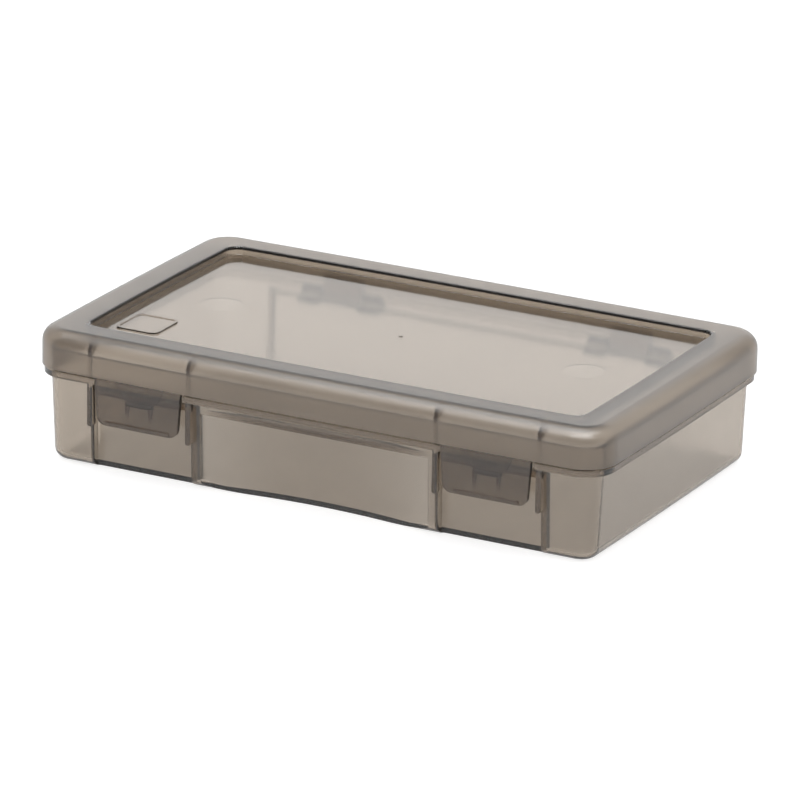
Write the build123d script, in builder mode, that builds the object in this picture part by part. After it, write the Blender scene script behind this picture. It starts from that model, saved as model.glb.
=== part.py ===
"""Flat fishing tackle box moulded in smoke polypropylene.

A drafted tray with a rim flange, a framed lid with a sunken panel, two latch tabs that flex out from
the lid's skirt, and two moulded pins that join the lid to the tray along the rear.

Frame: millimetres, origin at the middle of the tray's underside, +X to the right seen from the front,
+Y towards the hinge, +Z up.
"""

import os
from math import radians, sqrt, tan

from build123d import *

# Overall size: length and width at the lid's corners, height above the table
lid_length = 316.0
lid_width = 189.5
lid_top = 69.2
bulge = 0.85  # how far the middle of each long or short side bows out

# Lid
lid_corner = 17.6
lid_wall = 2.2
lid_edge_round = 8.0
skirt_height = 19.8

# Window: the sunken panel in the lid
border_length = 20.6  # from the skirt's outer face, at the short sides
border_width = 19.4  # the same at the long sides
window_corner = 7.2
window_depth = 4.5
window_lip_round = 0.7
window_foot_round = 0.4
panel_wall = 2.2

# Tray: gaps between its rim and the skirt, drafts and walls
side_gap = 2.75
front_gap = 1.5
rear_gap = 1.1
rim_corner = 12.0
rim_rise = 9.6  # above the skirt's lower edge
side_draft = 2.47
rear_draft = 1.2
tray_wall = 2.2
floor_wall = 2.4
tray_edge_round = 5.6
inner_edge_round = 3.2
rim_round = 0.7

# Flange around the tray, just under the skirt
skirt_gap = 1.2
flange_height = 3.0
flange_inset = 1.1  # behind the skirt's outer face

# Latch bays in the front wall
latch_inset = 61.6  # from the end of the lid to the middle of a latch
bay_width = 55.9
bay_depth = 4.6
bay_drop = 8.4  # from the flange's top to the bay's top
bay_corner = 1.2

# Fins that frame each latch bay
fin_thickness = 2.9
fin_height = 22.2
fin_inset = 0.5  # behind the flange's face
fin_round = 1.3

# Catch on the tray
catch_top_width = 27.0
catch_foot_width = 19.0
catch_height = 8.2
catch_corner = 2.4
catch_gap = 0.6  # between the catch and the inside of the tab

# Latch tab, its hook and its finger bead
tab_side_gap = 2.1  # between the tab's top and each fin
tab_taper = 1.7  # at each side
tab_height = 23.7
tab_corner = 5.0
tab_slit = 0.1  # between the tab and the skirt, where the tab flexes
hook_width = 14.6
hook_thickness = 2.0
hook_reach = 2.8
hook_gap = 0.6  # under the catch
hook_rib_thickness = 1.6
hook_rib_height = 9.0
bead_width = 37.0
bead_height = 2.0
bead_depth = 0.7
bead_lift = 0.4
bead_round = 0.2

# Grip hollow in the middle of the front wall
grip_margin = 5.2  # from a bay's edge to the grip's end
grip_depth = 6.5
grip_drop = 8.7  # from the flange's top to the grip's top

# Inset of the rear wall, where the hinges sit
inset_margin = 33.0  # from the end of the rim to the inset's end
inset_depth = 4.0
inset_corner = 2.0
inset_band = 4.0  # plain wall left between the inset and the flange

# Hinges
hinge_inset = 38.0  # from the inset's end to the middle of a hinge
knuckle_inset = 2.75  # from the skirt's corners to the front of the knuckles
knuckle_rise = 0.3  # of the knuckles' top above the flange's underside
pin_radius = 1.5
pin_chamfer = 0.3
pin_recess = 0.3  # from each end of the knuckles
knuckle_wall = 1.5
lid_knuckle_length = 22.0
tray_knuckle_length = 11.5
knuckle_gap = 0.4
pin_running_clearance = 0.06
pin_fixed_clearance = 0.01
arm_clearance = 0.6
arm_rise = 8.8  # how far up the skirt an arm tapers out

# Gussets inside the lid's front edge
gusset_thickness = 2.0
gusset_depth = 13.0
gusset_skirt_depth = 0.8
rim_clearance = 0.6  # above the tray's rim

# Marks on the panel
ejector_inset = 35.4  # from the window's end
ejector_radius = 10.9
ejector_depth = 0.3
gate_radius = 1.0
gate_height = 0.35
badge_inset_x = 20.0  # from the window's end to the badge's middle
badge_inset_y = 27.0
badge_length = 24.0
badge_width = 25.5
badge_corner = 4.0
badge_height = 0.8
badge_rim = 1.3
badge_field_depth = 0.45

# Heights that follow from those above
skirt_bottom = lid_top - skirt_height
rim_top = skirt_bottom + rim_rise
flange_top = skirt_bottom - skirt_gap
flange_bottom = flange_top - flange_height
panel_top = lid_top - window_depth
border_underside = lid_top - lid_wall
bay_top = flange_top - bay_drop
catch_foot = flange_top - catch_height
grip_top = flange_top - grip_drop
inset_top = flange_bottom - inset_band
fin_bottom = flange_bottom - fin_height
fin_top = flange_bottom + flange_height / 2

# Places in plan that follow from those above
lid_half_length = lid_length / 2
lid_half_width = lid_width / 2
side_slope = tan(radians(side_draft))
rear_slope = tan(radians(rear_draft))
rim_half_length = lid_half_length - lid_wall - side_gap
tray_front = lid_half_width - lid_wall - front_gap - rim_top * side_slope
tray_rear = lid_half_width - lid_wall - rear_gap - rim_top * rear_slope
window_half_length = lid_half_length - border_length
window_half_width = lid_half_width - border_width
latch_centre = lid_half_length - latch_inset
tab_top_width = bay_width - fin_thickness - 2 * tab_side_gap
grip_half_chord = latch_centre - bay_width / 2 - grip_margin
inset_half_length = rim_half_length - inset_margin
hinge_centre = inset_half_length - hinge_inset
knuckle_radius = pin_radius + knuckle_wall
hinge_y = lid_half_width - knuckle_inset + knuckle_radius
hinge_z = flange_bottom + knuckle_rise - knuckle_radius
past = 30.0  # how far a cutting shape runs past what it cuts
sides = (-1, 1)

os.makedirs("parts", exist_ok=True)


def bowed(distance, half_span):
    """How far a bowed side stands out at a distance from its middle."""
    radius = (half_span**2 + bulge**2) / (2 * bulge)
    return sqrt(radius**2 - distance**2) - (radius - bulge)


def outline(half_length, front, rear, corner):
    """Face of a rounded rectangle whose four sides bow out by the same bulge."""
    with BuildSketch(mode=Mode.PRIVATE) as shape:
        with BuildLine():
            ThreePointArc((-half_length, -front), (0, -front - bulge), (half_length, -front))
            ThreePointArc(
                (half_length, -front), (half_length + bulge, (rear - front) / 2), (half_length, rear)
            )
            ThreePointArc((half_length, rear), (0, rear + bulge), (-half_length, rear))
            ThreePointArc(
                (-half_length, rear), (-half_length - bulge, (rear - front) / 2), (-half_length, -front)
            )
        make_face()
        fillet(shape.vertices(), corner)
    return shape.sketch


def lid_outline(inset):
    """Face of the lid's outer shape, drawn in from the skirt by an inset."""
    half_width = lid_half_width - inset
    return outline(lid_half_length - inset, half_width, half_width, lid_corner - inset)


def window_outline(grow):
    """Face of the window opening, grown on every side."""
    half_width = window_half_width + grow
    return outline(window_half_length + grow, half_width, half_width, window_corner + grow)


def tray_outline(height, inset):
    """Face of the tray's drafted outer shape at a height, drawn in by an inset."""
    draw_in = (rim_top - height) * side_slope + inset
    return outline(
        rim_half_length - draw_in,
        tray_front + height * side_slope - inset,
        tray_rear + height * rear_slope - inset,
        rim_corner - draw_in,
    )


def front_bays(grow):
    """Faces of the two latch bays at the table, grown towards the tray's inside."""
    with BuildSketch(mode=Mode.PRIVATE) as shape:
        for side in sides:
            with Locations((side * latch_centre, -tray_front + bay_depth + grow - past / 2)):
                RectangleRounded(bay_width + 2 * grow, past, bay_corner)
    return shape.sketch


def grip_segment(grow):
    """Face of the grip hollow at the table, grown towards the tray's inside."""
    depth_y = -tray_front + grip_depth + grow
    chord = grip_half_chord + grow * 2
    with BuildSketch(mode=Mode.PRIVATE) as shape:
        with BuildLine():
            ThreePointArc((-chord, -tray_front), (0, depth_y), (chord, -tray_front))
            Polyline(
                (chord, -tray_front), (chord, -tray_front - past), (-chord, -tray_front - past),
                (-chord, -tray_front),
            )
        make_face()
    return shape.sketch


def rear_inset(grow):
    """Face of the rear wall's inset at the table, grown towards the tray's inside."""
    with BuildSketch(mode=Mode.PRIVATE) as shape:
        with Locations((0, tray_rear - inset_depth - grow + past / 2)):
            RectangleRounded(2 * (inset_half_length + grow), past, inset_corner)
    return shape.sketch


def leaning(height, slope):
    """Length along a wall of a given slope that rises by a height."""
    return height * sqrt(1 + slope**2)


def spans(centre, parts):
    """Start and length of each stretch along X, mirrored for both sides of the box."""
    return [(side * centre + start, length) for side in sides for start, length in parts]


front_lean = (0, -side_slope, 1)
rear_lean = (0, rear_slope, 1)

# Stretches of the knuckles, from the middle of each hinge
lid_stretch = [(-lid_knuckle_length / 2, lid_knuckle_length)]
tray_stretches = [
    (lid_knuckle_length / 2 + knuckle_gap, tray_knuckle_length),
    (-lid_knuckle_length / 2 - knuckle_gap - tray_knuckle_length, tray_knuckle_length),
]

# ---------------------------------------------------------------- tray

# The room inside the tray, with the backs of the bays, the grip and the rear inset standing into it
with BuildPart() as tray_room:
    with BuildSketch(Plane.XY.offset(floor_wall)):
        add(tray_outline(floor_wall, tray_wall))
    with BuildSketch(Plane.XY.offset(rim_top + tray_wall)):
        add(tray_outline(rim_top + tray_wall, tray_wall))
    loft()
    fillet(tray_room.edges().group_by(Axis.Z)[0], inner_edge_round)
    with BuildSketch():
        add(front_bays(tray_wall))
    extrude(amount=leaning(bay_top + tray_wall, side_slope), dir=front_lean, mode=Mode.SUBTRACT)
    with BuildSketch():
        add(grip_segment(tray_wall))
    extrude(amount=leaning(grip_top + tray_wall, side_slope), dir=front_lean, mode=Mode.SUBTRACT)
    with BuildSketch():
        add(rear_inset(tray_wall))
    extrude(amount=leaning(inset_top + tray_wall, rear_slope), dir=rear_lean, mode=Mode.SUBTRACT)

with BuildPart() as base_tray:
    with BuildSketch():
        add(tray_outline(0, 0))
    with BuildSketch(Plane.XY.offset(rim_top)):
        add(tray_outline(rim_top, 0))
    loft()
    fillet(base_tray.edges().group_by(Axis.Z)[0], tray_edge_round)

    # Bays, grip and inset are cut through the underside and lean with their wall
    with BuildSketch():
        add(front_bays(0))
    extrude(amount=leaning(bay_top, side_slope), dir=front_lean, mode=Mode.SUBTRACT)
    with BuildSketch():
        add(grip_segment(0))
    extrude(amount=leaning(grip_top, side_slope), dir=front_lean, mode=Mode.SUBTRACT)
    with BuildSketch():
        add(rear_inset(0))
    extrude(amount=leaning(inset_top, rear_slope), dir=rear_lean, mode=Mode.SUBTRACT)

    # Flange, open in front of the latch bays and behind the lid's hinge arms
    with BuildSketch(Plane.XY.offset(flange_bottom)) as flange:
        add(lid_outline(flange_inset))
        for side in sides:
            with Locations((side * latch_centre, -tray_front - flange_bottom * side_slope - past / 2)):
                Rectangle(bay_width - 2 * fin_thickness, past, mode=Mode.SUBTRACT)
        for start, length in spans(hinge_centre, lid_stretch):
            with Locations((start + length / 2, tray_rear + flange_bottom * rear_slope + past / 2)):
                Rectangle(length + 2 * knuckle_gap, past, mode=Mode.SUBTRACT)
    extrude(amount=flange_height)

    # Fins at both sides of each latch bay
    fin_face = lid_half_width - flange_inset - fin_inset
    fin_back = tray_front - bay_depth
    for side in sides:
        for edge in sides:
            fin_x = side * latch_centre + edge * bay_width / 2
            fin_y = -(fin_face + bowed(fin_x, lid_half_length))
            with BuildSketch(Plane.XZ.offset(-fin_y)) as fin:
                with Locations((fin_x, (fin_bottom + fin_top) / 2)):
                    Rectangle(fin_thickness, fin_top - fin_bottom)
                fillet(fin.vertices().group_by(Axis.Y)[0], fin_round)
            extrude(amount=fin_y + fin_back)

    # Catches for the latch hooks
    for side in sides:
        tab_inside = lid_half_width - lid_wall + bowed(latch_centre, lid_half_length)
        with BuildSketch(Plane.XZ.offset(tab_inside - catch_gap)) as catch:
            with BuildLine():
                Polyline(
                    (side * latch_centre - catch_top_width / 2, flange_top),
                    (side * latch_centre + catch_top_width / 2, flange_top),
                    (side * latch_centre + catch_foot_width / 2, catch_foot),
                    (side * latch_centre - catch_foot_width / 2, catch_foot),
                    close=True,
                )
            make_face()
            fillet(catch.vertices().group_by(Axis.Y)[0], catch_corner)
        extrude(amount=-(tab_inside - catch_gap - tray_front))

    # Knuckles that hold the pins, hung from the flange on short brackets
    for start, length in spans(hinge_centre, tray_stretches):
        with BuildSketch(Plane.YZ.offset(start)):
            with Locations((hinge_y, hinge_z)):
                Circle(knuckle_radius)
            with BuildLine():
                Polyline(
                    (hinge_y, hinge_z - knuckle_radius),
                    (tray_rear - inset_depth, hinge_z - knuckle_radius),
                    (tray_rear - inset_depth, flange_top),
                    (lid_half_width - flange_inset, flange_top),
                    (hinge_y + knuckle_radius, hinge_z),
                    (hinge_y, hinge_z),
                    close=True,
                )
            make_face()
        extrude(amount=length)
        with BuildSketch(Plane.YZ.offset(start)):
            with Locations((hinge_y, hinge_z)):
                Circle(pin_radius + pin_fixed_clearance)
        extrude(amount=length, mode=Mode.SUBTRACT)

    add(tray_room.part, mode=Mode.SUBTRACT)
    fillet(base_tray.edges().group_by(Axis.Z)[-1], rim_round)

base_tray.part.label = "base_tray"
export_step(base_tray.part, "parts/base_tray.step")

# ---------------------------------------------------------------- lid

# The room inside the lid, above the rim, with the window's wall and panel hanging into it
with BuildPart() as lid_room:
    with BuildSketch(Plane.XY.offset(skirt_bottom)):
        add(lid_outline(lid_wall))
    extrude(amount=border_underside - skirt_bottom)
    fillet(lid_room.edges().group_by(Axis.Z)[-1], lid_edge_round - lid_wall)
    with BuildSketch(Plane.XY.offset(panel_top - panel_wall)):
        add(window_outline(lid_wall))
    extrude(amount=lid_top - panel_top + panel_wall, mode=Mode.SUBTRACT)

    # Gussets inside the front edge, in line with the fins
    for side in sides:
        for edge in sides:
            gusset_x = side * latch_centre + edge * bay_width / 2
            skirt_y = -(lid_half_width - lid_wall + bowed(gusset_x, lid_half_length))
            with BuildSketch(Plane.YZ.offset(gusset_x - gusset_thickness / 2)):
                with BuildLine():
                    Polyline(
                        (skirt_y - past, skirt_bottom),
                        (skirt_y + gusset_skirt_depth, skirt_bottom),
                        (skirt_y + gusset_skirt_depth, rim_top + rim_clearance),
                        (skirt_y + gusset_depth, border_underside),
                        (skirt_y - past, border_underside),
                        close=True,
                    )
                make_face()
            extrude(amount=gusset_thickness, mode=Mode.SUBTRACT)

with BuildPart() as lid:
    with BuildSketch(Plane.XY.offset(skirt_bottom)):
        add(lid_outline(0))
    extrude(amount=lid_top - skirt_bottom)
    fillet(lid.edges().group_by(Axis.Z)[-1], lid_edge_round)
    with BuildSketch(Plane.XY.offset(lid_top)):
        add(window_outline(0))
    extrude(amount=-window_depth, mode=Mode.SUBTRACT)
    panel_face = lid.faces().filter_by(Axis.Z).filter_by_position(Axis.Z, panel_top - 0.1, panel_top + 0.1)
    fillet(panel_face.edges(), window_foot_round)
    border_face = lid.faces().filter_by(Axis.Z).sort_by(Axis.Z)[-1]
    fillet(border_face.inner_wires()[0].edges(), window_lip_round)
    add(lid_room.part, mode=Mode.SUBTRACT)

    # Hinge arms that reach down behind the flange to their knuckles
    for start, length in spans(hinge_centre, lid_stretch):
        arm_y = lid_half_width - lid_wall + bowed(hinge_centre, lid_half_length)
        with BuildSketch(Plane.YZ.offset(start)):
            with Locations((hinge_y, hinge_z)):
                Circle(knuckle_radius)
            with BuildLine():
                Polyline(
                    (arm_y, skirt_bottom + lid_wall),
                    (arm_y, hinge_z + arm_clearance),
                    (hinge_y, hinge_z),
                    (hinge_y + knuckle_radius, hinge_z),
                    (hinge_y + knuckle_radius, skirt_bottom),
                    (arm_y + lid_wall / 2, skirt_bottom + arm_rise),
                    close=True,
                )
            make_face()
        extrude(amount=length)
        with BuildSketch(Plane.YZ.offset(start)):
            with Locations((hinge_y, hinge_z)):
                Circle(pin_radius + pin_running_clearance)
        extrude(amount=length, mode=Mode.SUBTRACT)

    # Ejector discs under the panel, gate mark and blank badge on it
    badge_middle = (badge_inset_x - window_half_length, badge_inset_y - window_half_width)
    with BuildSketch(Plane.XY.offset(panel_top - panel_wall)):
        with GridLocations(2 * (window_half_length - ejector_inset), 0, 2, 1):
            Circle(ejector_radius)
    extrude(amount=ejector_depth, mode=Mode.SUBTRACT)
    with BuildSketch(Plane.XY.offset(panel_top)):
        Circle(gate_radius)
    extrude(amount=gate_height)
    with BuildSketch(Plane.XY.offset(panel_top)):
        with Locations(badge_middle):
            RectangleRounded(badge_length, badge_width, badge_corner)
    extrude(amount=badge_height)
    with BuildSketch(Plane.XY.offset(panel_top + badge_height)):
        with Locations(badge_middle):
            RectangleRounded(
                badge_length - 2 * badge_rim, badge_width - 2 * badge_rim, badge_corner - badge_rim
            )
    extrude(amount=-badge_field_depth, mode=Mode.SUBTRACT)

lid.part.label = "lid"
export_step(lid.part, "parts/lid.step")

# ---------------------------------------------------------------- latches


def make_latch(centre, name):
    """Tab that carries on the skirt's curve downwards, with its hook, ribs and finger bead."""
    tab_top = skirt_bottom - tab_slit
    tab_bottom = skirt_bottom - tab_height
    foot_width = tab_top_width - 2 * tab_taper
    inside = -(lid_half_width - lid_wall + bowed(centre, lid_half_length))
    hook_top = catch_foot - hook_gap
    tip = inside + hook_reach
    with BuildPart() as latch:
        with BuildSketch(Plane.XY.offset(tab_bottom)):
            add(lid_outline(0))
            add(lid_outline(lid_wall), mode=Mode.SUBTRACT)
        extrude(amount=tab_top - tab_bottom)
        with BuildSketch(Plane.XZ.offset(lid_half_width - past / 2)) as tab:
            with BuildLine():
                Polyline(
                    (centre - tab_top_width / 2, tab_top),
                    (centre + tab_top_width / 2, tab_top),
                    (centre + foot_width / 2, tab_bottom),
                    (centre - foot_width / 2, tab_bottom),
                    close=True,
                )
            make_face()
            fillet(tab.vertices().group_by(Axis.Y)[0], tab_corner)
        extrude(amount=past, mode=Mode.INTERSECT)

        # Hook ledge across the back of the tab, with a rib under each end
        with BuildSketch(Plane.XY.offset(hook_top - hook_thickness)):
            with Locations((centre, inside + hook_reach / 2 - lid_wall / 4)):
                Rectangle(hook_width, hook_reach + lid_wall / 2)
        extrude(amount=hook_thickness)
        for edge in sides:
            rib_x = centre + edge * (hook_width - hook_rib_thickness) / 2 - hook_rib_thickness / 2
            with BuildSketch(Plane.YZ.offset(rib_x)):
                with BuildLine():
                    Polyline(
                        (inside - lid_wall / 2, hook_top),
                        (tip, hook_top),
                        (inside, hook_top - hook_rib_height),
                        (inside - lid_wall / 2, hook_top - hook_rib_height),
                        close=True,
                    )
                make_face()
            extrude(amount=hook_rib_thickness)

        # Bead along the foot of the tab for a fingertip
        face = inside - lid_wall
        with BuildSketch(Plane.XZ.offset(bead_depth - face)):
            with Locations((centre, tab_bottom + bead_lift + bead_height / 2)):
                SlotOverall(bead_width, bead_height)
        extrude(amount=-bead_depth - lid_wall / 2)
        fillet(latch.faces().sort_by(Axis.Y)[0].edges(), bead_round)
    latch.part.label = name
    export_step(latch.part, f"parts/{name}.step")


make_latch(-latch_centre, "latch_left")
make_latch(latch_centre, "latch_right")

# ---------------------------------------------------------------- hinge pins


def make_pin(centre, name):
    """Moulded pin through the knuckles of one hinge."""
    half_length = lid_knuckle_length / 2 + knuckle_gap + tray_knuckle_length - pin_recess
    with BuildPart() as pin:
        with BuildSketch(Plane.YZ.offset(centre)):
            with Locations((hinge_y, hinge_z)):
                Circle(pin_radius)
        extrude(amount=half_length, both=True)
        chamfer(pin.edges().filter_by(GeomType.CIRCLE), pin_chamfer)
    pin.part.label = name
    export_step(pin.part, f"parts/{name}.step")


make_pin(-hinge_centre, "hinge_pin_left")
make_pin(hinge_centre, "hinge_pin_right")
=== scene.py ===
"""Studio view of a flat tackle box in smoke polypropylene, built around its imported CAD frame."""

import math

import bpy
from mathutils import Matrix, Vector

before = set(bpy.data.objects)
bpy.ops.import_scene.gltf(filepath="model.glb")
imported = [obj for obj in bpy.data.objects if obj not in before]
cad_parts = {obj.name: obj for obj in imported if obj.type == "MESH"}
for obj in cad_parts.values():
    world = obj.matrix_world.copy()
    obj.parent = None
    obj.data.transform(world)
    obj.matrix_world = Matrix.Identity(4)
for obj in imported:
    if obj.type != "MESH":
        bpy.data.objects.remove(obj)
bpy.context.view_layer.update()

# Camera: where it looks and from where
CAMERA_TARGET = Vector((0.0007, -0.0006, 0.0315))
CAMERA_AZIMUTH = 27.35
CAMERA_ELEVATION = 18.94
CAMERA_ROLL = 1.14
CAMERA_DISTANCE = 3.484
CAMERA_LENS = 314.15
CAMERA_CLIP = (0.1, 100.0)
SENSOR_WIDTH = 36.0

# Studio
FLOOR_HALF = 30.0
FLOOR_COLOUR = (0.55, 0.55, 0.55, 1.0)
FLOOR_GLOW = 0.75
FLOOR_ROUGHNESS = 0.9
FLOOR_DROP = 0.0002
WALL_LIGHT = 1.15
ROOM_LIGHT = 0.35
ROOM_AZIMUTH = 20.0
ROOM_FADE = (0.1, 0.8)

# Softboxes: name, azimuth, elevation, distance, size and power
SOFTBOXES = [
    ("top_softbox", 0, 80, 1.6, (1.8, 1.2), 45.0),
    ("front_strip", 15, 50, 1.5, (1.6, 0.5), 25.0),
    ("rear_panel", 207, 20, 2.5, (3.0, 1.5), 9.0),
]

# Smoke polypropylene: its skin hardly tints, its bulk absorbs
SKIN = (0.985, 0.98, 0.97, 1.0)
CLOUD_SHADE = 0.97
PLASTIC_IOR = 1.49
TRANSMISSION = 0.97
ABSORPTION_COLOUR = (0.29, 0.16, 0.0, 1.0)
TRAY_DENSITY = 235.0
LID_DENSITY = 320.0
LATCH_DENSITY = 720.0

# Roughness of each piece, from its smoothest to its most matt spots
TRAY_SATIN = (0.2, 0.26)
LID_SATIN = (0.28, 0.33)
LATCH_SATIN = (0.1, 0.14)
LEAVING_POLISH = 0.25

# Patterns in features per metre, and the part of a noise's range that is used
CLOUD_SCALE = 24.0
SKIN_SCALE = 90.0
GRAIN_SCALE = 1400.0
GRAIN_STRENGTH = 0.12
GRAIN_DEPTH = 0.00005
PATTERN_RANGE = (0.3, 0.7)

# Polished window in the satin lid, half its length and width
WINDOW_HALF = (0.1374, 0.07535)
WINDOW_ROUGHNESS = 0.09


# ------------------------------------------------------------------ nodes

class Tree:
    """Short calls for building a node tree."""

    def __init__(self, tree):
        self.tree = tree
        self.tree.nodes.clear()

    def node(self, kind, **values):
        made = self.tree.nodes.new(kind)
        for name, value in values.items():
            if name.startswith("_"):
                setattr(made, name[1:], value)
            else:
                made.inputs[name.replace("__", " ")].default_value = value
        return made

    def link(self, source, output, target, socket):
        self.tree.links.new(source.outputs[output], target.inputs[socket])


def new_material(name):
    material = bpy.data.materials.new(name)
    material.use_nodes = True
    return material, Tree(material.node_tree)


def noise(tree, scale, detail, roughness=0.5):
    """Noise in the object's own metres, so a scale is in features per metre."""
    place = tree.node("ShaderNodeTexCoord")
    made = tree.node("ShaderNodeTexNoise", Scale=scale, Detail=detail, Roughness=roughness)
    tree.link(place, "Object", made, "Vector")
    return made


def spread(tree, pattern, low, high):
    """Maps a noise pattern onto a range."""
    made = tree.node("ShaderNodeMapRange", To__Min=low, To__Max=high)
    made.inputs["From Min"].default_value = PATTERN_RANGE[0]
    made.inputs["From Max"].default_value = PATTERN_RANGE[1]
    tree.link(pattern, "Fac", made, "Value")
    return made


def product_of(tree, one, other):
    """Product of the first outputs of two nodes."""
    made = tree.node("ShaderNodeMath", _operation="MULTIPLY")
    tree.link(one, 0, made, 0)
    tree.link(other, 0, made, 1)
    return made


def outside_window(tree):
    """1 on the lid's satin frame and skirt, 0 on its polished window."""
    place = tree.node("ShaderNodeTexCoord")
    parts = tree.node("ShaderNodeSeparateXYZ")
    tree.link(place, "Object", parts, "Vector")
    past_edge = []
    for axis, half in zip("XY", WINDOW_HALF):
        distance = tree.node("ShaderNodeMath", _operation="ABSOLUTE")
        tree.link(parts, axis, distance, 0)
        beyond = tree.node("ShaderNodeMath", _operation="GREATER_THAN")
        beyond.inputs[1].default_value = half
        tree.link(distance, "Value", beyond, 0)
        past_edge.append(beyond)
    either = tree.node("ShaderNodeMath", _operation="MAXIMUM")
    for socket, beyond in enumerate(past_edge):
        tree.link(beyond, "Value", either, socket)
    return either


def smoke_plastic(name, satin, density, window=False):
    """Clear smoke-tinted polypropylene with a fine satin skin, its inner faces smoother than its outer."""
    material, tree = new_material(name)
    shader = tree.node("ShaderNodeBsdfPrincipled", IOR=PLASTIC_IOR)
    shader.inputs["Transmission Weight"].default_value = TRANSMISSION
    out = tree.node("ShaderNodeOutputMaterial")
    tree.link(shader, "BSDF", out, "Surface")
    bulk = tree.node("ShaderNodeVolumeAbsorption", Color=ABSORPTION_COLOUR, Density=density)
    tree.link(bulk, "Volume", out, "Volume")

    clouds = noise(tree, CLOUD_SCALE, 2.0)
    tint = tree.node("ShaderNodeValToRGB")
    shaded, plain = tint.color_ramp.elements
    shaded.position, plain.position = PATTERN_RANGE
    shaded.color = tuple(CLOUD_SHADE * c for c in SKIN[:3]) + (1.0,)
    plain.color = SKIN
    tree.link(clouds, "Fac", tint, "Fac")
    tree.link(tint, "Color", shader, "Base Color")

    rough = spread(tree, noise(tree, SKIN_SCALE, 3.0), *satin)
    if window:
        polish = tree.node("ShaderNodeMapRange", To__Min=WINDOW_ROUGHNESS / satin[1], To__Max=1.0)
        tree.link(outside_window(tree), "Value", polish, "Value")
        rough = product_of(tree, rough, polish)
    side = tree.node("ShaderNodeNewGeometry")
    leaving = tree.node("ShaderNodeMapRange", To__Min=1.0, To__Max=LEAVING_POLISH)
    tree.link(side, "Backfacing", leaving, "Value")
    tree.link(product_of(tree, rough, leaving), "Value", shader, "Roughness")

    grain = noise(tree, GRAIN_SCALE, 2.0)
    bump = tree.node("ShaderNodeBump", Strength=GRAIN_STRENGTH, Distance=GRAIN_DEPTH)
    tree.link(grain, "Fac", bump, "Height")
    tree.link(bump, "Normal", shader, "Normal")
    return material


def dress(node, material):
    """Gives a CAD node its material."""
    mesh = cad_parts[node].data
    mesh.materials.clear()
    mesh.materials.append(material)


# ------------------------------------------------------------------ studio

def make_floor():
    mesh = bpy.data.meshes.new("floor")
    corners = [(-FLOOR_HALF, -FLOOR_HALF, 0), (FLOOR_HALF, -FLOOR_HALF, 0),
               (FLOOR_HALF, FLOOR_HALF, 0), (-FLOOR_HALF, FLOOR_HALF, 0)]
    mesh.from_pydata(corners, [], [(0, 1, 2, 3)])
    floor = bpy.data.objects.new("floor", mesh)
    bpy.context.scene.collection.objects.link(floor)
    material, tree = new_material("floor_paper")
    shader = tree.node("ShaderNodeBsdfPrincipled", Roughness=FLOOR_ROUGHNESS)
    shader.inputs["Base Color"].default_value = FLOOR_COLOUR
    shader.inputs["Emission Color"].default_value = (1.0, 1.0, 1.0, 1.0)
    shader.inputs["Emission Strength"].default_value = FLOOR_GLOW
    out = tree.node("ShaderNodeOutputMaterial")
    tree.link(shader, "BSDF", out, "Surface")
    mesh.materials.append(material)
    floor.location.z = -FLOOR_DROP


def make_world():
    world = bpy.data.worlds.new("studio")
    bpy.context.scene.world = world
    world.use_nodes = True
    tree = Tree(world.node_tree)
    place = tree.node("ShaderNodeTexCoord")
    towards_room = tree.node("ShaderNodeVectorMath", _operation="DOT_PRODUCT")
    turn = math.radians(ROOM_AZIMUTH)
    towards_room.inputs[1].default_value = (math.sin(turn), -math.cos(turn), 0.0)
    tree.link(place, "Generated", towards_room, 0)
    light = tree.node("ShaderNodeMapRange", _interpolation_type="SMOOTHSTEP",
                      To__Min=WALL_LIGHT, To__Max=ROOM_LIGHT)
    light.inputs["From Min"].default_value = ROOM_FADE[0]
    light.inputs["From Max"].default_value = ROOM_FADE[1]
    tree.link(towards_room, "Value", light, "Value")
    back = tree.node("ShaderNodeBackground")
    tree.link(light, "Result", back, "Strength")
    out = tree.node("ShaderNodeOutputWorld")
    tree.link(back, "Background", out, "Surface")


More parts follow.
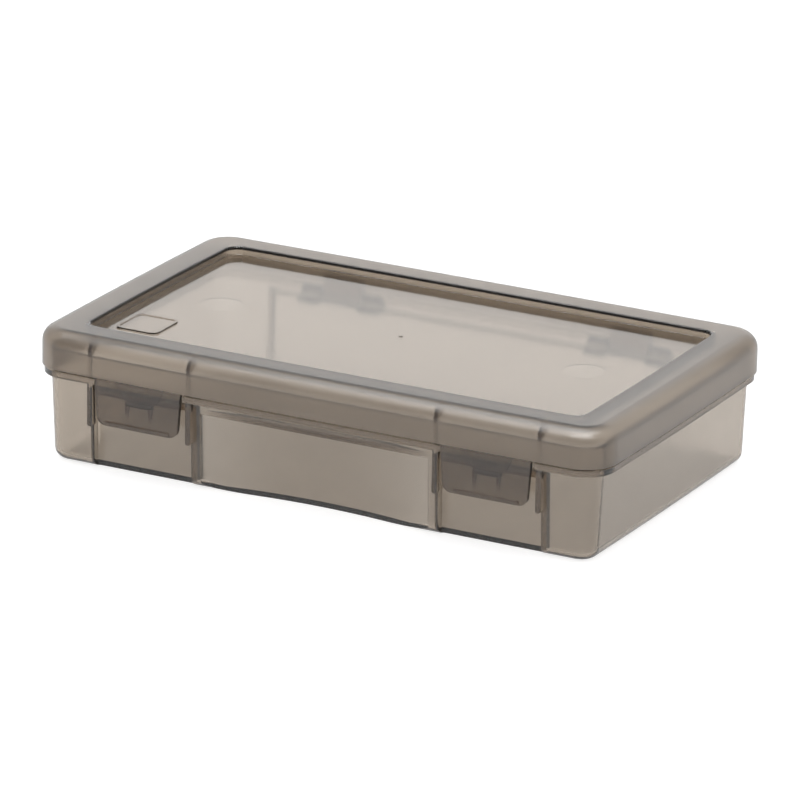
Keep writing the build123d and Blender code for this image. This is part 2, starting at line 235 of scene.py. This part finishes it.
def aim(thing, target, roll=0.0):
    """Turns a camera or light to face a point, then rolls it about its own axis, in degrees."""
    facing = (target - thing.location).to_track_quat("-Z", "Y").to_matrix()
    thing.rotation_euler = (facing @ Matrix.Rotation(math.radians(roll), 3, "Z")).to_euler()


def around(azimuth, elevation, distance):
    """Point at an azimuth (0 in front, 90 at +X) and elevation from the camera's target."""
    a, e = math.radians(azimuth), math.radians(elevation)
    away = Vector((math.sin(a) * math.cos(e), -math.cos(a) * math.cos(e), math.sin(e)))
    return CAMERA_TARGET + away * distance


def make_softbox(name, azimuth, elevation, distance, size, power):
    """Panel that only shines in reflections, so that it draws highlights on the satin skin."""
    data = bpy.data.lights.new(name, "AREA")
    data.shape = "RECTANGLE"
    data.size, data.size_y = size
    data.energy = power
    light = bpy.data.objects.new(name, data)
    bpy.context.scene.collection.objects.link(light)
    light.location = around(azimuth, elevation, distance)
    light.visible_diffuse = False
    light.visible_transmission = False
    aim(light, CAMERA_TARGET)


def make_camera():
    data = bpy.data.cameras.new("camera")
    data.lens = CAMERA_LENS
    data.sensor_width = SENSOR_WIDTH
    data.clip_start, data.clip_end = CAMERA_CLIP
    camera = bpy.data.objects.new("camera", data)
    bpy.context.scene.collection.objects.link(camera)
    camera.location = around(CAMERA_AZIMUTH, CAMERA_ELEVATION, CAMERA_DISTANCE)
    aim(camera, CAMERA_TARGET, CAMERA_ROLL)
    bpy.context.scene.camera = camera


bpy.context.scene.view_settings.view_transform = "Standard"
make_floor()
make_world()
make_camera()
for softbox in SOFTBOXES:
    make_softbox(*softbox)

tray_plastic = smoke_plastic("tray_plastic", TRAY_SATIN, TRAY_DENSITY)
lid_plastic = smoke_plastic("lid_plastic", LID_SATIN, LID_DENSITY, window=True)
latch_plastic = smoke_plastic("latch_plastic", LATCH_SATIN, LATCH_DENSITY)
looks = {"base_tray": tray_plastic, "lid": lid_plastic, "latch_left": latch_plastic,
         "latch_right": latch_plastic, "hinge_pin_left": tray_plastic, "hinge_pin_right": tray_plastic}
for node, look in looks.items():
    dress(node, look)
